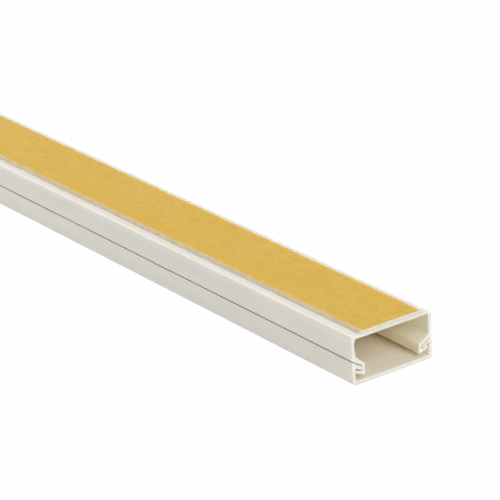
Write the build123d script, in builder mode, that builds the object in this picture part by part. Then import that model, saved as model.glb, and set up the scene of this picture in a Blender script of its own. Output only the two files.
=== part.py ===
from build123d import *
from math import cos, radians, tan
import os

# Two-piece cord cover raceway, lying on its cover with its adhesive back up.
# X runs along it, Y across it and Z up from the floor, in millimetres and degrees.

# Overall
length = 400.0
width = 32.0

# Snap cover: front plate, side walls and the lips along their tops
plate = 1.1
cover_wall = 1.1
front_radius = 0.8
plate_fillet = 0.4
ridge_radius = 0.4
lip_tip = 1.3
lip_tip_radius = 0.3
lip_relief = 7.0
lip_fillet = 0.3

# Base channel: back web, side walls, and the stepped leg and foot on each side
web = 1.1
base_wall = 1.1
base_side = 8.1
back_radius = 2.0
web_fillet = 1.5
seam_edge_radius = 0.2
hook_slope = 33.0
step_slope = 35.5
step_fillet = 1.8
leg_radius = 0.4
recess_fillet = 0.3
foot_length = 2.5
foot_thickness = 0.9
foot_slope = 19.5
foot_radius = 0.3

# Clearances between the two extrusions, and what is left of the play on the near side
seam_gap = 0.45
tip_clearance = 0.35
lip_clearance = 0.3
foot_clearance = 0.4
leg_clearance = 1.5
rest_gap = 0.15

# Foam tape on the back, and the paper over its glue
tape_width = 25.4
tape_thickness = 1.05
tape_lean = 0.7
tape_shift = -0.1
liner_margin = 0.15
liner_thickness = 0.1

# Distances in from the outer side face, the same on both sides
foot_tip_inset = cover_wall + foot_clearance
recess_inset = foot_tip_inset + foot_length
leg_inset = recess_inset + base_wall
lip_tip_inset = recess_inset - tip_clearance

hook_rise = tan(radians(hook_slope))
step_rise = tan(radians(step_slope))
foot_rise = tan(radians(foot_slope))
lip_rise = tan(radians(foot_slope + lip_relief))
leg_bottom = plate + leg_clearance


def foot_bottom(inset):
    return leg_bottom + (leg_inset - inset) * foot_rise


def foot_top(inset):
    return foot_bottom(inset) + foot_thickness / cos(radians(foot_slope))


def lip_bottom(inset):
    return foot_top(lip_tip_inset) + lip_clearance + (lip_tip_inset - inset) * lip_rise


def lip_top(inset):
    return lip_bottom(lip_tip_inset) + lip_tip + (lip_tip_inset - inset) * hook_rise


def step_bottom(inset):
    return lip_top(inset) + seam_gap


def step_top(inset):
    thickness = base_wall / cos(radians(hook_slope))
    return step_bottom(leg_inset) + thickness + (leg_inset - inset) * step_rise


half = width / 2
back = step_bottom(0) + base_side
tape_top = back + tape_thickness

# The cover lies to the far side of its play, and the two together lie about the origin
cover_shift = min(tip_clearance, foot_clearance) - rest_gap
cover_middle = cover_shift / 2
base_middle = -cover_shift / 2
tape_middle = base_middle + tape_shift


def far_end(middle, height):
    return Plane((-length / 2, middle, height), x_dir=(0, 1, 0), z_dir=(1, 0, 0))


def at(inset, height):
    return (half - inset, height)


# Half of each closed outline, from the middle round to the middle: each corner and its radius
base_corners = [
    (at(0, back), back_radius),
    (at(0, step_bottom(0)), seam_edge_radius),
    (at(recess_inset, step_bottom(recess_inset)), recess_fillet),
    (at(recess_inset, foot_top(recess_inset)), recess_fillet),
    (at(foot_tip_inset, foot_top(foot_tip_inset)), foot_radius),
    (at(foot_tip_inset, foot_bottom(foot_tip_inset)), foot_radius),
    (at(leg_inset, leg_bottom), leg_radius),
    (at(leg_inset, step_top(leg_inset)), leg_radius),
    (at(base_wall, step_top(base_wall)), step_fillet),
    (at(base_wall, back - web), web_fillet),
]
cover_corners = [
    (at(0, 0), front_radius),
    (at(0, lip_top(0)), ridge_radius),
    (at(lip_tip_inset, lip_top(lip_tip_inset)), lip_tip_radius),
    (at(lip_tip_inset, lip_bottom(lip_tip_inset)), lip_tip_radius),
    (at(cover_wall, lip_bottom(cover_wall)), lip_fillet),
    (at(cover_wall, plate), plate_fillet),
]

# Base channel: one extrusion, with a C-shaped recess down each side for the cover's lips
with BuildPart() as base_channel:
    with BuildSketch(far_end(base_middle, 0)):
        with BuildLine():
            FilletPolyline(
                (0, back),
                *[point for point, radius in base_corners],
                (0, back - web),
                radius=[radius for point, radius in base_corners],
            )
            mirror(about=Plane.YZ)
        make_face()
    extrude(amount=length)

# Snap cover: one extrusion, lips sloping in and down under the base's steps
with BuildPart() as snap_cover:
    with BuildSketch(far_end(cover_middle, 0)):
        with BuildLine():
            FilletPolyline(
                (0, 0),
                *[point for point, radius in cover_corners],
                (0, plate),
                radius=[radius for point, radius in cover_corners],
            )
            mirror(about=Plane.YZ)
        make_face()
    extrude(amount=length)

# Foam tape: a little off the middle of the back, its slit edges leaning in towards the liner
with BuildPart() as foam_tape:
    with BuildSketch(far_end(tape_middle, back)):
        with BuildLine():
            Polyline(
                (0, 0),
                (tape_width / 2, 0),
                (tape_width / 2 - tape_lean, tape_thickness),
                (0, tape_thickness),
            )
            mirror(about=Plane.YZ)
        make_face()
    extrude(amount=length)

# Release liner: a paper strip just inside the tape's upper edges
with BuildPart() as release_liner:
    with BuildSketch(Plane.XY.offset(tape_top)):
        with Locations((0, tape_middle)):
            Rectangle(length, tape_width - 2 * (tape_lean + liner_margin))
    extrude(amount=liner_thickness)

base_channel.part.label = "base_channel"
snap_cover.part.label = "snap_cover"
foam_tape.part.label = "foam_tape"
release_liner.part.label = "release_liner"

os.makedirs("parts", exist_ok=True)
export_step(base_channel.part, "parts/base_channel.step")
export_step(snap_cover.part, "parts/snap_cover.step")
export_step(foam_tape.part, "parts/foam_tape.step")
export_step(release_liner.part, "parts/release_liner.step")
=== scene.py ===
import math

import bmesh
import bpy
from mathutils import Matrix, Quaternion, Vector, noise


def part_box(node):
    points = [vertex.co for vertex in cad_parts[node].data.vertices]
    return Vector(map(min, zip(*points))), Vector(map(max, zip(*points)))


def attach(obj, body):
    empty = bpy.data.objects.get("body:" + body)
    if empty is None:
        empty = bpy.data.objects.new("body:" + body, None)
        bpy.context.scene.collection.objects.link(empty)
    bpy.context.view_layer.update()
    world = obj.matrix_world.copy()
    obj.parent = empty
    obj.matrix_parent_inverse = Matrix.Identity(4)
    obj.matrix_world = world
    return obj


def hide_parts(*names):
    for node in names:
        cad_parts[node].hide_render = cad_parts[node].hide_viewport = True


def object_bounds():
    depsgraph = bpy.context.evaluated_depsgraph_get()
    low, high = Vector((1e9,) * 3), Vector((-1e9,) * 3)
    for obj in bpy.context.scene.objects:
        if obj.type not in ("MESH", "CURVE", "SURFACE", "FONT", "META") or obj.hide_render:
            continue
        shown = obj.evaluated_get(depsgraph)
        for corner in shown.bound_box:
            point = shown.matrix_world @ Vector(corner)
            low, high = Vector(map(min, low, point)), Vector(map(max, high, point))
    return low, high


# Dresses the cord cover raceway: ivory PVC, a slit foam tape and its golden paper liner.
# Metres, in the part's own frame: X along it, Y across it and Z up from the floor.

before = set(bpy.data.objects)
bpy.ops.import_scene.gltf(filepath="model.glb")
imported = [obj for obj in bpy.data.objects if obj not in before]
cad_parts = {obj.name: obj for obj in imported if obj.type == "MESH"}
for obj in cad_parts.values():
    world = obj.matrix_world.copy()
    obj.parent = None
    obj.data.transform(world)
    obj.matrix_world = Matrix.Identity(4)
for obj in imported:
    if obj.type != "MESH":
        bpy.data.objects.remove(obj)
cad_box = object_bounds()

MM = 0.001

# Camera, at the photograph's viewing angle
CAMERA_PLACE = Vector((0.75255, -0.45238, 0.33553))
CAMERA_AIM = Vector((0.089665, 0.026724, 0.0))
CAMERA_ROLL = math.radians(-2.429)
CAMERA_LENS = 181.2
CAMERA_CLIP = 0.01

# Floor and light
FLOOR_SIZE = 12.0
FLOOR_DROP = 0.02 * MM
FLOOR_GLOW = 0.98
FLOOR_GLOSS_GLOW = 0.3
FLOOR_COLOUR = (0.86, 0.86, 0.85, 1.0)
SKY_LEVEL = 0.15
SKY_COLOUR = (1.005, 1.0, 1.13, 1.0)
WHITE = (1.0, 1.0, 1.0, 1.0)
LAMP_COLOUR = (1.005, 1.0, 1.13)
MAX_BOUNCES = 24
DIFFUSE_BOUNCES = 16

# Lamps: where each hangs, what it is aimed at, its two sides, and its power in watts
AIM = (0.15, 0.0, 0.01)
STRIP_AIM = (-1.05, 0.0, 0.01)
BOX = (0.9, 0.9)
BIG_BOX = (2.7, 2.7)
STRIP = (1.3, 0.35)
LAMPS = {
    "front_high_softbox": ((3.24, -0.6, 3.22), AIM, BIG_BOX, 67.5),
    "front_low_softbox": ((4.35, 0.0, 1.93), AIM, BIG_BOX, 68.0),
    "top_softbox": ((0.15, 0.80, 1.30), AIM, BOX, 5.1),
    "near_softbox": ((0.0, -1.40, 0.50), AIM, BOX, 3.2),
    "far_softbox": ((0.10, 1.40, 0.50), AIM, BOX, 3.9),
    "rear_high_softbox": ((-1.30, 0.0, 1.10), AIM, BOX, 2.4),
    "rear_low_strip": ((-1.05, -0.62, 0.66), STRIP_AIM, STRIP, 3.6),
}

# Colours, linear
BASE_IVORY = (0.945, 0.885, 0.710, 1.0)
COVER_IVORY = (0.958, 0.903, 0.730, 1.0)
SAWN_IVORY = (0.900, 0.890, 0.715, 1.0)
# Painted shade for the narrow seams, a darker brown
SEAM_SHADE_BROWN = (0.80, 0.59, 0.13, 1.0)
FOAM_TAN = (0.80, 0.635, 0.380, 1.0)
FOAM_PALE = (0.87, 0.735, 0.49, 1.0)
CUT_WHITE = (0.88, 0.81, 0.57, 1.0)
CUT_YELLOW = (0.76, 0.65, 0.41, 1.0)
GLUE_WHITE = (0.88, 0.79, 0.62, 1.0)
PAPER_GOLD = (0.772, 0.488, 0.067, 1.0)
PAPER_LIGHT = (0.855, 0.562, 0.110, 1.0)
PAPER_DARK = (0.685, 0.418, 0.042, 1.0)
PAPER_EDGE = (0.91, 0.62, 0.064, 1.0)
PAPER_NEAR = (0.772, 0.482, 0.047, 1.0)

# Noise in the materials, in lumps per metre along X, Y and Z, and the range of it that counts
DIE_LINES = (5, 1400, 1400)
PVC_CLOUDS = (30, 90, 90)
SAW_SCORING = (60, 1800, 260)
FOAM_CELLS = 3200.0
FOAM_CRUMBS = (900, 700, 1300)
FOAM_PATCHES = (420, 700, 1400)
GLUE_MILK = (3000, 3000, 3000)
PAPER_FIBRES = (1900, 2600, 1900)
PAPER_MOTTLE = (330, 420, 420)
PAPER_CLOUDS = (22, 60, 60)
NOISE_LOW = 0.3
NOISE_HIGH = 0.7

# PVC: how far its tone strays and what makes it stray, its gloss, its relief, and light under its skin
PVC_LIGHTER = 1.05
PVC_DARKER = 0.955
DIE_LINE_SHARE = 0.35
PVC_CLOUD_SHARE = 0.65
PVC_ROUGHNESS = (0.17, 0.25)
SAWN_ROUGHER = 0.3
SCORING_RELIEF = 20.0
DIE_LINE_DEPTH = 0.001 * MM
PVC_IOR = 1.53
PVC_SUBSURFACE = 0.8
PVC_SUBSURFACE_DEPTH = 1.3 * MM

# Foam, glue and paper: gloss, relief, light under the skin, and the slit line along the paper's edges
FOAM_ROUGHNESS = (0.75, 0.95)
FOAM_GLOSS = 0.2
FOAM_CELL_DEPTH = 0.03 * MM
FOAM_SUBSURFACE = 0.3
FOAM_SUBSURFACE_TINT = (1.0, 0.8, 0.5)
FOAM_SUBSURFACE_DEPTH = 1.0 * MM
FOAM_PATCH_RANGE = (0.35, 0.70)
FOAM_CRUMB_RANGE = (0.54, 0.68)
GLUE_DARKER = 0.93
GLUE_ROUGHNESS = (0.25, 0.4)
FIBRE_SHARE = 0.65
MOTTLE_SHARE = 0.35
FIBRE_DARK = 0.32
FIBRE_MIDDLE = 0.5
FIBRE_LIGHT = 0.68
SLIT_LINE_OUTER = 0.5 * MM
SLIT_LINE_INNER = 1.3 * MM
SLIT_MOTTLE_RANGE = (0.38, 0.60)
SLIT_FAINT = 0.45
PAPER_NEAR_SHARE = 0.6
PAPER_ROUGHNESS = (0.5, 0.62)
PAPER_GLOSS = 0.25
FIBRE_DEPTH = 0.035 * MM

# Painted shade in the seams where the cover meets the base, darker and browner where the gap is narrow: how
# far a wall may be for a gap to count, how shut and how open it starts and ends, how far in and down it goes,
# and how far it stays off the sawn ends
GAP_REACH = 1.5 * MM
GAP_SAMPLES = 8
GAP_SHUT = 0.15
GAP_OPEN = 0.42
GAP_SHADE_SHARE = 1.0
SEAM_DEPTH = 4.2 * MM
SEAM_END_MARGIN = 0.7 * MM
SEAM_BOTTOM = 5.2 * MM
SEAM_FADE = 1.1
FAR_SEAM_SHADE_SHARE = 0.3

# Roundings that differ from the solids': the sharp corner's place in from the side and down from the top,
# how far from that corner the rounding reaches, and the new one's share of it across and down
COVER_HEIGHT_MM = 7.702
NEAR_BASE_ROUNDINGS = [
    (Vector((0.0, 0.0)), 2.0 * MM, (0.3, 0.3)),
    (Vector((1.1, 1.1)) * MM, 1.5 * MM, (0.6, 1.5)),
    (Vector((1.1, 7.25)) * MM, 0.93 * MM, (0.6, 0.6)),
]
FAR_BASE_ROUNDINGS = [
    (Vector((1.1, 1.1)) * MM, 1.5 * MM, (0.35, 0.35)),
    (Vector((1.1, 7.25)) * MM, 0.93 * MM, (0.5, 0.5)),
]
NEAR_COVER_ROUNDINGS = [
    (Vector((0.0, COVER_HEIGHT_MM)) * MM, 0.8 * MM, (1.5, 1.5)),
]
ROUNDING_SLACK = 1.01
CORNER_SLACK = 0.01 * MM

# The hooks: the part of the section they take up, in from the side and between two heights, of which the
# lower falls inwards, and how much lower than the solids' they lie at the side face, less further in
HOOK_WIDTH = 5.3 * MM
HOOK_BOTTOM = 7.1 * MM
HOOK_FALL = 0.575
HOOK_TOP = 10.5 * MM
HOOK_REACH = 8.5 * MM
FAR_DROP = 1.1 * MM
NEAR_STEP_DROP = 0.12 * MM
NEAR_LIP_DROP = 0.08 * MM

# The side walls bulge a little, in their shading only: how far down their top roundings end, how much the
# normals tilt there, and which corners of the mesh that takes in
BASE_BULGE = 2.0 * MM
COVER_BULGE = 0.4 * MM
BULGE_TILT = math.radians(20)
BULGE_FACING = 0.99
BULGE_BAND = 0.02 * MM

# The base's near wall thickens downwards, on its inner face: between which insets and depths, from which
# depth on, where it is as thick as the solid's, and how fast
BOW_INSETS = (0.5 * MM, 3.0 * MM)
BOW_DEPTHS = (1.05 * MM, 8.2 * MM)
BOW_START = 3.4 * MM
BOW_MIDDLE = 4.5 * MM
BOW_SLOPE = 0.15

# Foam tape
TAPE_LEAN = 0.7 * MM
TAPE_STEP = 0.5 * MM
TAPE_CUT_STEP = 0.25 * MM
TAPE_ROWS = 6
TAPE_CORNER = 1.6 * MM
TAPE_CORNER_STEP = math.radians(10)
FOAM_PITS = 0.05 * MM
FOAM_PIT_SIZE = 0.6 * MM
FOAM_WANDER = 0.12 * MM
FOAM_WANDER_SIZE = 22.0 * MM
FOOT_DRIFT = 0.32 * MM
FOOT_DRIFT_START = 120.0 * MM
FOOT_DRIFT_LENGTH = 150.0 * MM

# Strings of glue down the tape's near side: distance from the near end, width, lean
GLUE_STRINGS = [(54.9 * MM, 0.34 * MM, 0.20 * MM), (10.3 * MM, 0.30 * MM, -0.10 * MM)]
GLUE_PROUD = 0.05 * MM
GLUE_SUNK = 0.1 * MM
GLUE_SECTION = ((-0.5, -GLUE_SUNK), (-0.3, GLUE_PROUD), (0.3, GLUE_PROUD), (0.5, -GLUE_SUNK))
GLUE_FOOT_WIDTH = 0.55

# Paper liner
PAPER_STEP = 0.7 * MM
PAPER_END_STEP = 0.12 * MM
PAPER_END_LENGTH = 1.96 * MM
PAPER_CORNER = 1.4 * MM
PAPER_CLIP_DEPTH = 0.7 * MM
PAPER_CLIP_LENGTH = 2.0 * MM
PAPER_FRONT_WANDER = 0.16 * MM
PAPER_FRONT_WANDER_SIZE = 2.6 * MM
PAPER_NEAR_WIDTH = 9.0 * MM
PAPER_THICKNESS = 0.08 * MM
PAPER_RIPPLE = 0.02 * MM
PAPER_RIPPLE_SIZE = 7.0 * MM
EDGE_WANDER = 0.12 * MM
EDGE_WANDER_SIZE = 24.0 * MM
EDGE_NICK = 0.4 * MM
EDGE_NICK_SIZE = 3.0 * MM
EDGE_NICK_CONTRAST = 1.2
EDGE_NICK_SEED = 5
FAR_EDGE_SHARE = 0.85
PAPER_COLUMNS = 32


def lumps(point, size, contrast=0.5):
    """Smooth noise from 0 to 1, with lumps of about that size."""
    return min(1.0, max(0.0, 0.5 + contrast * noise.noise(point / size)))


def samples(start, end, step):
    """Evenly spaced values from start to end, about a step apart."""
    count = max(1, round(abs(end - start) / step))
    return [start + (end - start) * index / count for index in range(count + 1)]


def feed(tree, socket, value):
    """Gives a socket a value, or links another node's output to it."""
    if isinstance(value, bpy.types.NodeSocket):
        tree.links.new(value, socket)
    else:
        socket.default_value = value


def add_node(tree, kind, inputs, **settings):
    """A shader node with its settings and inputs."""
    made = tree.nodes.new(kind)
    for name, value in settings.items():
        setattr(made, name, value)
    for key, value in inputs.items():
        feed(tree, made.inputs[key], value)
    return made


def calculate(tree, operation, *values):
    """The result of a maths node."""
    made = add_node(tree, "ShaderNodeMath", dict(enumerate(values)), operation=operation)
    return made.outputs[0]


def spread(tree, value, low, high, start, end):
    """A value from low to high, mapped to start to end and kept between them."""
    inputs = {"Value": value, "From Min": low, "From Max": high, "To Min": start, "To Max": end}
    return add_node(tree, "ShaderNodeMapRange", inputs).outputs["Result"]


def blend_colours(tree, factor, first, second):
    """The first colour where the factor is 0, and the second where it is 1."""
    factor_socket, first_socket, second_socket, result_socket = 0, 6, 7, 2
    inputs = {factor_socket: factor, first_socket: first, second_socket: second}
    made = add_node(tree, "ShaderNodeMix", inputs, data_type="RGBA")
    return made.outputs[result_socket]


def place(tree):
    """The point of the surface, in the part's frame."""
    return add_node(tree, "ShaderNodeTexCoord", {}).outputs["Object"]


def speckle(tree, lumps_per_metre, detail):
    """Noise about 0.5, with its own number of lumps per metre along X, Y and Z."""
    scaled = add_node(tree, "ShaderNodeMapping", {"Vector": place(tree), "Scale": lumps_per_metre})
    inputs = {"Vector": scaled.outputs["Vector"], "Scale": 1.0, "Detail": detail}
    return add_node(tree, "ShaderNodeTexNoise", inputs).outputs["Fac"]


def bump(tree, height, depth):
    """A normal raised by height times depth, in metres."""
    inputs = {"Height": height, "Distance": depth, "Strength": 1.0}
    return add_node(tree, "ShaderNodeBump", inputs).outputs["Normal"]


def facing(tree, axis, start=0.6, full=0.8):
    """1 where the surface faces along that axis, either way, and 0 elsewhere."""
    normal = add_node(tree, "ShaderNodeNewGeometry", {}).outputs["Normal"]
    parts = add_node(tree, "ShaderNodeSeparateXYZ", {"Vector": normal})
    return spread(tree, calculate(tree, "ABSOLUTE", parts.outputs[axis]), start, full, 0.0, 1.0)


def painted_seam_shade(tree):
    """Painted shade: 0 on open surfaces, and up to its full share down in the narrow seams, less in the far
    seam, away from the sawn ends.
    """
    low, high = cad_box
    inputs = {"Distance": GAP_REACH}
    open_share = add_node(tree, "ShaderNodeAmbientOcclusion", inputs, samples=GAP_SAMPLES).outputs["AO"]
    narrow = spread(tree, open_share, GAP_SHUT, GAP_OPEN, GAP_SHADE_SHARE, 0.0)
    parts = add_node(tree, "ShaderNodeSeparateXYZ", {"Vector": place(tree)}).outputs
    along = calculate(tree, "ABSOLUTE", parts["X"])
    across = calculate(tree, "ABSOLUTE", parts["Y"])
    inside = spread(tree, along, high.x - SEAM_END_MARGIN, high.x, 1.0, 0.0)
    outer = spread(tree, across, high.y - SEAM_FADE * SEAM_DEPTH, high.y - SEAM_DEPTH, 0.0, 1.0)
    upper = spread(tree, parts["Z"], SEAM_BOTTOM, SEAM_FADE * SEAM_BOTTOM, 0.0, 1.0)
    near = spread(tree, parts["Y"], low.y, high.y, 1.0, FAR_SEAM_SHADE_SHARE)
    within = calculate(tree, "MULTIPLY", calculate(tree, "MULTIPLY", inside, outer), upper)
    return calculate(tree, "MULTIPLY", narrow, calculate(tree, "MULTIPLY", within, near))


def new_material(name):
    """An empty node material with a Principled shader."""
    material = bpy.data.materials.new(name)
    material.use_nodes = True
    return material, material.node_tree, material.node_tree.nodes["Principled BSDF"]


def pvc(name, ivory):
    """Extruded ivory PVC: faint die lines along it, fine scoring where it was sawn off, and painted shade,
    darker and browner, down in the narrow seams.
    """
    material, tree, shader = new_material(name)
    die_lines = speckle(tree, DIE_LINES, detail=3.0)
    clouds = speckle(tree, PVC_CLOUDS, detail=2.0)
    scoring = speckle(tree, SAW_SCORING, detail=3.0)
    sawn = facing(tree, "X")
    lighter = [min(1.0, value * PVC_LIGHTER) for value in ivory[:3]] + [1.0]
    darker = [value * PVC_DARKER for value in ivory[:3]] + [1.0]
    cloudy = calculate(tree, "MULTIPLY", clouds, PVC_CLOUD_SHARE)
    tint = calculate(tree, "MULTIPLY_ADD", die_lines, DIE_LINE_SHARE, cloudy)
    colour = blend_colours(tree, spread(tree, tint, NOISE_LOW, NOISE_HIGH, 0.0, 1.0), darker, lighter)
    colour = blend_colours(tree, sawn, colour, SAWN_IVORY)
    # Painted shade: the seams where the cover meets the base are blended towards a darker brown where the
    # ambient occlusion finds them narrow
    feed(tree, shader.inputs["Base Color"], blend_colours(tree, painted_seam_shade(tree), colour, SEAM_SHADE_BROWN))
    satin = spread(tree, die_lines, NOISE_LOW, NOISE_HIGH, *PVC_ROUGHNESS)
    rough = calculate(tree, "MULTIPLY_ADD", sawn, SAWN_ROUGHER, satin)
    feed(tree, shader.inputs["Roughness"], rough)
    relief = calculate(tree, "MULTIPLY", scoring, calculate(tree, "MULTIPLY", sawn, SCORING_RELIEF))
    height = calculate(tree, "ADD", die_lines, relief)
    feed(tree, shader.inputs["Normal"], bump(tree, height, DIE_LINE_DEPTH))
    shader.inputs["IOR"].default_value = PVC_IOR
    shader.inputs["Subsurface Weight"].default_value = PVC_SUBSURFACE
    shader.inputs["Subsurface Radius"].default_value = (1.0, 1.0, 1.0)
    shader.inputs["Subsurface Scale"].default_value = PVC_SUBSURFACE_DEPTH
    return material


def foam():
    """Closed-cell foam: tan along the slit sides, pale and crumbly where it was cut across."""
    material, tree, shader = new_material("tape_foam")
    cells = add_node(tree, "ShaderNodeTexVoronoi", {"Vector": place(tree), "Scale": FOAM_CELLS})
    crumbs = speckle(tree, FOAM_CRUMBS, detail=2.0)
    patches = speckle(tree, FOAM_PATCHES, detail=3.0)
    side = blend_colours(tree, spread(tree, patches, *FOAM_PATCH_RANGE, 0.0, 1.0), FOAM_TAN, FOAM_PALE)
    cut = blend_colours(tree, spread(tree, crumbs, *FOAM_CRUMB_RANGE, 0.0, 1.0), CUT_WHITE, CUT_YELLOW)
    across = facing(tree, "X", start=0.2)
    feed(tree, shader.inputs["Base Color"], blend_colours(tree, across, side, cut))
    feed(tree, shader.inputs["Normal"], bump(tree, cells.outputs["Distance"], FOAM_CELL_DEPTH))
    rough = spread(tree, crumbs, NOISE_LOW, NOISE_HIGH, *FOAM_ROUGHNESS)
    feed(tree, shader.inputs["Roughness"], rough)
    shader.inputs["Specular IOR Level"].default_value = FOAM_GLOSS
    shader.inputs["Subsurface Weight"].default_value = FOAM_SUBSURFACE
    shader.inputs["Subsurface Radius"].default_value = FOAM_SUBSURFACE_TINT
    shader.inputs["Subsurface Scale"].default_value = FOAM_SUBSURFACE_DEPTH
    return material


def glue():
    """Clear acrylic glue, white where it has strung out."""
    material, tree, shader = new_material("glue_string")
    milk = speckle(tree, GLUE_MILK, detail=2.0)
    thin = [value * GLUE_DARKER for value in GLUE_WHITE[:3]] + [1.0]
    feed(tree, shader.inputs["Base Color"], blend_colours(tree, milk, GLUE_WHITE, thin))
    feed(tree, shader.inputs["Roughness"], spread(tree, milk, NOISE_LOW, NOISE_HIGH, *GLUE_ROUGHNESS))
    return material


def paper(low, high):
    """Golden silicone paper: fine mottled fibres, and a brighter line where its edges were slit."""
    material, tree, shader = new_material("liner_paper")
    fibres = speckle(tree, PAPER_FIBRES, detail=4.0)
    mottle = speckle(tree, PAPER_MOTTLE, detail=3.0)
    clouds = speckle(tree, PAPER_CLOUDS, detail=2.0)
    mottled = calculate(tree, "MULTIPLY", mottle, MOTTLE_SHARE)
    shade = calculate(tree, "MULTIPLY_ADD", fibres, FIBRE_SHARE, mottled)
    darkness = spread(tree, shade, FIBRE_DARK, FIBRE_MIDDLE, 1.0, 0.0)
    dark = blend_colours(tree, darkness, PAPER_GOLD, PAPER_DARK)
    lightness = spread(tree, shade, FIBRE_MIDDLE, FIBRE_LIGHT, 0.0, 1.0)
    colour = blend_colours(tree, lightness, dark, PAPER_LIGHT)
    across = add_node(tree, "ShaderNodeSeparateXYZ", {"Vector": place(tree)}).outputs["Y"]
    middle = (low.y + high.y) / 2
    half = (high.y - low.y) / 2
    out = calculate(tree, "ABSOLUTE", calculate(tree, "SUBTRACT", across, middle))
    slit = spread(tree, out, half - SLIT_LINE_INNER, half - SLIT_LINE_OUTER, 0.0, 1.0)
    broken = spread(tree, mottle, *SLIT_MOTTLE_RANGE, SLIT_FAINT, 1.0)
    edge = calculate(tree, "MULTIPLY", slit, broken)
    near = spread(tree, across, low.y, low.y + PAPER_NEAR_WIDTH, PAPER_NEAR_SHARE, 0.0)
    colour = blend_colours(tree, near, colour, PAPER_NEAR)
    feed(tree, shader.inputs["Base Color"], blend_colours(tree, edge, colour, PAPER_EDGE))
    rough = spread(tree, clouds, NOISE_LOW, NOISE_HIGH, *PAPER_ROUGHNESS)
    feed(tree, shader.inputs["Roughness"], rough)
    feed(tree, shader.inputs["Normal"], bump(tree, shade, FIBRE_DEPTH))
    shader.inputs["Specular IOR Level"].default_value = PAPER_GLOSS
    return material


def add_piece(name, build, materials):
    """A mesh object made by filling a bmesh."""
    mesh = bpy.data.meshes.new(name)
    shape = bmesh.new()
    build(shape)
    shape.normal_update()
    shape.to_mesh(mesh)
    shape.free()
    for material in materials:
        mesh.materials.append(material)
    piece = bpy.data.objects.new(name, mesh)
    bpy.context.scene.collection.objects.link(piece)
    return piece


def tape_outline(low, high):
    """Points round the tape's foot and the way out at each, with the near corner of its near end rounded."""
    points = []
    for x in samples(low.x, high.x - TAPE_CORNER, TAPE_STEP):
        points.append((Vector((x, low.y)), Vector((0, -1))))
    pivot = Vector((high.x - TAPE_CORNER, low.y + TAPE_CORNER))
    for angle in samples(-math.pi / 2, 0, TAPE_CORNER_STEP)[1:]:
        out = Vector((math.cos(angle), math.sin(angle)))
        points.append((pivot + TAPE_CORNER * out, out))
    for y in samples(low.y + TAPE_CORNER, high.y, TAPE_CUT_STEP)[1:]:
        points.append((Vector((high.x, y)), Vector((1, 0))))
    for x in samples(high.x, low.x, TAPE_STEP)[1:]:
        points.append((Vector((x, high.y)), Vector((0, 1))))
    for y in samples(high.y, low.y, TAPE_CUT_STEP)[1:-1]:
        points.append((Vector((low.x, y)), Vector((-1, 0))))
    return points


def tape_point(low, high, foot, out, rise):
    """A point of the tape's wall, above a point of its foot: leaning in, wandering and pitted."""
    middle = (low.y + high.y) / 2
    half = (high.y - low.y) / 2
    y = middle + (foot.y - middle) * (1 - TAPE_LEAN * rise / half)
    point = Vector((foot.x, y, low.z + (high.z - low.z) * rise))
    depth = FOAM_WANDER * lumps(Vector((foot.x, foot.y, 0)), FOAM_WANDER_SIZE)
    depth += FOAM_PITS * lumps(point, FOAM_PIT_SIZE)
    if out.y < 0:
        drift = min(1.0, max(0.0, (FOOT_DRIFT_START - foot.x) / FOOT_DRIFT_LENGTH))
        depth += FOOT_DRIFT * drift * (1 - rise)
    return point - depth * out.to_3d()


def build_tape(shape, low, high):
    """The tape's wall all round, its two faces, and the strings of glue."""
    outline = tape_outline(low, high)
    rows = []
    for rise in samples(0.0, 1.0, 1 / TAPE_ROWS):
        rows.append([shape.verts.new(tape_point(low, high, foot, out, rise)) for foot, out in outline])
    count = len(outline)
    for lower, upper in zip(rows, rows[1:]):
        for index in range(count):
            following = (index + 1) % count
            corners = (lower[index], lower[following], upper[following], upper[index])
            shape.faces.new(corners).smooth = True
    bottom = shape.faces.new(reversed(rows[0]))
    top = shape.faces.new(rows[-1])
    for edge in (*bottom.edges, *top.edges):
        edge.smooth = False
    for from_end, width, slant in GLUE_STRINGS:
        add_string(shape, low, high, from_end, width, slant)


def add_string(shape, low, high, from_end, width, slant):
    """A thin raised string of glue from the tape's upper edge down to its foot, on the near side."""
    out = Vector((0, -1))
    rows = []
    for rise in samples(1.0, 0.0, 1 / TAPE_ROWS):
        middle = high.x - from_end + slant * (rise - 0.5)
        taper = GLUE_FOOT_WIDTH + (1 - GLUE_FOOT_WIDTH) * rise
        row = []
        for share, proud in GLUE_SECTION:
            foot = Vector((middle + share * width * taper, low.y))
            point = tape_point(low, high, foot, out, rise)
            row.append(shape.verts.new(point + proud * out.to_3d()))
        rows.append(row)
    for upper, lower in zip(rows, rows[1:]):
        for index in range(len(upper) - 1):
            corners = (upper[index], lower[index], lower[index + 1], upper[index + 1])
            face = shape.faces.new(corners)
            face.smooth = True
            face.material_index = 1


def paper_stations(low, high):
    """Places along the liner, closer together next to its near end, where a corner is rounded."""
    bend = high.x - PAPER_END_LENGTH
    return samples(low.x, bend, PAPER_STEP) + samples(bend, high.x, PAPER_END_STEP)[1:]


def edge_wander(x, side):
    """How far in a slit edge has strayed at a place along the liner."""
    slow = lumps(Vector((x, side, 0)), EDGE_WANDER_SIZE)
    quick = lumps(Vector((x, EDGE_NICK_SEED * side, 0)), EDGE_NICK_SIZE, EDGE_NICK_CONTRAST)
    return EDGE_WANDER * slow + EDGE_NICK * quick


def corner_inset(x, front):
    """How far in the rounded corner has taken the near edge."""
    reach = x - (front - PAPER_CORNER)
    if reach <= 0:
        return 0.0
    return PAPER_CORNER - math.sqrt(max(0.0, PAPER_CORNER ** 2 - reach ** 2))


def clip_inset(x, front):
    """How far in the clipped corner has taken the far edge."""
    reach = max(0.0, x - (front - PAPER_CLIP_LENGTH))
    return PAPER_CLIP_DEPTH * reach / PAPER_CLIP_LENGTH


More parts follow.
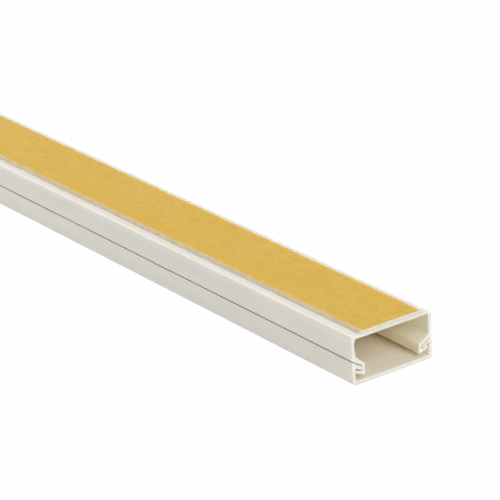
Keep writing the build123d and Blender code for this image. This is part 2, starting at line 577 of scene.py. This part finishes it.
def front_wander(x, y, front):
    """How far back the uneven front edge has drawn a point of the liner's last stretch."""
    share = max(0.0, 1 - (front - x) / PAPER_CLIP_LENGTH)
    return PAPER_FRONT_WANDER * share * lumps(Vector((0, y, 0)), PAPER_FRONT_WANDER_SIZE)


def build_paper(shape, low, high):
    """The liner's upper face, a fine grid between its two slit edges."""
    rows = []
    for x in paper_stations(low, high):
        near = low.y + edge_wander(x, -1) + corner_inset(x, high.x)
        far = high.y - FAR_EDGE_SHARE * edge_wander(x, 1) - clip_inset(x, high.x)
        row = []
        for share in samples(0.0, 1.0, 1 / PAPER_COLUMNS):
            eased = 0.5 - 0.5 * math.cos(math.pi * share)
            y = near + (far - near) * (0.5 * eased + 0.5 * share)
            ripple = PAPER_RIPPLE * lumps(Vector((x, y, 0)), PAPER_RIPPLE_SIZE)
            row.append(shape.verts.new((x - front_wander(x, y, high.x), y, high.z - ripple)))
        rows.append(row)
    for row, following in zip(rows, rows[1:]):
        for index in range(PAPER_COLUMNS):
            corners = (row[index], following[index], following[index + 1], row[index + 1])
            shape.faces.new(corners).smooth = True


def reround(spot, corner, reach, share):
    """A spot of a rounded corner drawn in to the sharp corner or out from it, and any other spot as it is."""
    offset = spot - corner
    beyond = min(offset) < -CORNER_SLACK and corner.y < reach
    if beyond or offset.length > ROUNDING_SLACK * reach:
        return spot
    return corner + Vector((share[0] * offset.x, share[1] * offset.y))


def bow(spot):
    """How far in a spot of the near wall's inner face lies from the solid's."""
    if not BOW_INSETS[0] < spot.x < BOW_INSETS[1] or not BOW_DEPTHS[0] < spot.y < BOW_DEPTHS[1]:
        return 0.0
    return BOW_SLOPE * (max(spot.y, BOW_START) - BOW_MIDDLE)


def hook_drop(inset, height, drop):
    """How far a spot of a hook lies below the solid's."""
    if inset > HOOK_WIDTH or not HOOK_BOTTOM - HOOK_FALL * inset < height < HOOK_TOP:
        return 0.0
    return drop * (1 - inset / HOOK_REACH)


def reshape_base(inset, height, top, far):
    """Where a spot of the base's section lies, in from its side and up."""
    spot = Vector((inset, top - height))
    for corner, reach, share in FAR_BASE_ROUNDINGS if far else NEAR_BASE_ROUNDINGS:
        spot = reround(spot, corner, reach, share)
    drop = hook_drop(inset, height, FAR_DROP if far else NEAR_STEP_DROP)
    return spot.x + (0.0 if far else bow(spot)), top - spot.y - drop


def reshape_cover(inset, height, top, far):
    """Where a spot of the cover's section lies, in from its side and up."""
    spot = Vector((inset, top - height))
    for corner, reach, share in [] if far else NEAR_COVER_ROUNDINGS:
        spot = reround(spot, corner, reach, share)
    return spot.x, top - spot.y - hook_drop(inset, height, FAR_DROP if far else NEAR_LIP_DROP)


def bulged(normal, below):
    """The normal of an extrusion's surface, tilted up next to the lower end of a side wall's top rounding."""
    if abs(normal.y) < BULGE_FACING or abs(below) > BULGE_BAND:
        return normal
    return Vector((normal.x, normal.y * math.cos(BULGE_TILT), math.sin(BULGE_TILT)))


def add_extrusion(name, node, body, slot, ivory, reshape, bulge):
    """An extrusion in PVC, shaped after its solid."""
    low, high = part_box(node)
    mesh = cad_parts[node].data.copy()
    heights = [mesh.vertices[loop.vertex_index].co.z for loop in mesh.loops]
    corners = [corner.vector.copy() for corner in mesh.corner_normals]
    normals = [bulged(normal, high.z - bulge - height) for normal, height in zip(corners, heights)]
    for vertex in mesh.vertices:
        x, y, z = vertex.co
        far = y > (low.y + high.y) / 2
        inset, z = reshape(high.y - y if far else y - low.y, z, high.z, far)
        vertex.co = (x, high.y - inset if far else low.y + inset, z)
    mesh.normals_split_custom_set(normals)
    mesh.materials.clear()
    mesh.materials.append(pvc(slot, ivory))
    piece = bpy.data.objects.new(name, mesh)
    bpy.context.scene.collection.objects.link(piece)
    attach(piece, body)
    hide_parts(node)


def add_extrusions():
    """The two extrusions, in place of their solids."""
    add_extrusion("hooked_base", "base_channel", "base", "base_pvc", BASE_IVORY, reshape_base, BASE_BULGE)
    add_extrusion("hooked_cover", "snap_cover", "cover", "cover_pvc", COVER_IVORY, reshape_cover, COVER_BULGE)


def add_tape():
    """The foam tape, in place of its plain solid."""
    low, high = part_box("foam_tape")
    piece = add_piece("slit_foam_tape", lambda shape: build_tape(shape, low, high), [foam(), glue()])
    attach(piece, "base")
    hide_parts("foam_tape")


def add_liner():
    """The paper liner, in place of its plain solid."""
    low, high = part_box("release_liner")
    piece = add_piece("paper_liner", lambda shape: build_paper(shape, low, high), [paper(low, high)])
    thickness = piece.modifiers.new("thickness", "SOLIDIFY")
    thickness.thickness = PAPER_THICKNESS
    thickness.offset = -1.0
    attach(piece, "base")
    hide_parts("release_liner")


def seen_directly(tree, plain, gloss):
    """The share for rays that see a surface straight or through a clear piece or in a gloss, else 0."""
    path = add_node(tree, "ShaderNodeLightPath", {}).outputs
    direct = calculate(tree, "MAXIMUM", path["Is Camera Ray"], path["Is Transmission Ray"])
    mirrored = calculate(tree, "MULTIPLY", path["Is Glossy Ray"], gloss)
    return calculate(tree, "MAXIMUM", calculate(tree, "MULTIPLY", direct, plain), mirrored)


def add_floor():
    """A plain white floor that keeps a faint shadow."""
    half = FLOOR_SIZE / 2
    corners = [(-half, -half), (half, -half), (half, half), (-half, half)]

    def build(shape):
        shape.faces.new([shape.verts.new((x, y, -FLOOR_DROP)) for x, y in corners])

    material, tree, shader = new_material("white_floor")
    tree.nodes.remove(shader)
    matt = add_node(tree, "ShaderNodeBsdfDiffuse", {"Color": FLOOR_COLOUR})
    glow = add_node(tree, "ShaderNodeEmission", {"Strength": 1.0})
    share = seen_directly(tree, FLOOR_GLOW, FLOOR_GLOSS_GLOW)
    inputs = {0: share, 1: matt.outputs["BSDF"], 2: glow.outputs["Emission"]}
    mixed = add_node(tree, "ShaderNodeMixShader", inputs)
    feed(tree, tree.nodes["Material Output"].inputs["Surface"], mixed.outputs["Shader"])
    add_piece("floor", build, [material])


def add_sky():
    """Even light from all round, which shows as white."""
    world = bpy.data.worlds.new("studio")
    world.use_nodes = True
    tree = world.node_tree
    tree.nodes.clear()
    light = add_node(tree, "ShaderNodeBackground", {"Color": SKY_COLOUR, "Strength": SKY_LEVEL})
    white = add_node(tree, "ShaderNodeBackground", {"Color": WHITE, "Strength": 1.0})
    inputs = {0: seen_directly(tree, 1.0, 1.0), 1: light.outputs[0], 2: white.outputs[0]}
    mixed = add_node(tree, "ShaderNodeMixShader", inputs)
    output = add_node(tree, "ShaderNodeOutputWorld", {"Surface": mixed.outputs["Shader"]})
    output.is_active_output = True
    bpy.context.scene.world = world


def add_softbox(name, where, aim, sides, power):
    """A rectangular area lamp."""
    lamp = bpy.data.lights.new(name, "AREA")
    lamp.shape = "RECTANGLE"
    lamp.size, lamp.size_y = sides
    lamp.energy = power
    lamp.color = LAMP_COLOUR
    softbox = bpy.data.objects.new(name, lamp)
    softbox.location = where
    softbox.rotation_mode = "QUATERNION"
    softbox.rotation_quaternion = (Vector(aim) - Vector(where)).to_track_quat("-Z", "Y")
    bpy.context.scene.collection.objects.link(softbox)


def add_lamps():
    """Softboxes above, beyond both ends and along both sides."""
    for name, (where, aim, sides, power) in LAMPS.items():
        add_softbox(name, where, aim, sides, power)


def add_camera():
    """The photograph's camera."""
    lens = bpy.data.cameras.new("photo_camera")
    lens.lens = CAMERA_LENS
    lens.clip_start = CAMERA_CLIP
    camera = bpy.data.objects.new("photo_camera", lens)
    camera.location = CAMERA_PLACE
    camera.rotation_mode = "QUATERNION"
    level = (CAMERA_AIM - CAMERA_PLACE).to_track_quat("-Z", "Y")
    camera.rotation_quaternion = level @ Quaternion((0, 0, 1), CAMERA_ROLL)
    bpy.context.scene.collection.objects.link(camera)
    bpy.context.scene.camera = camera


bpy.context.scene.view_settings.view_transform = "Standard"
bpy.context.scene.cycles.max_bounces = MAX_BOUNCES
bpy.context.scene.cycles.diffuse_bounces = DIFFUSE_BOUNCES
add_camera()
add_extrusions()
add_tape()
add_liner()
add_floor()
add_sky()
add_lamps()
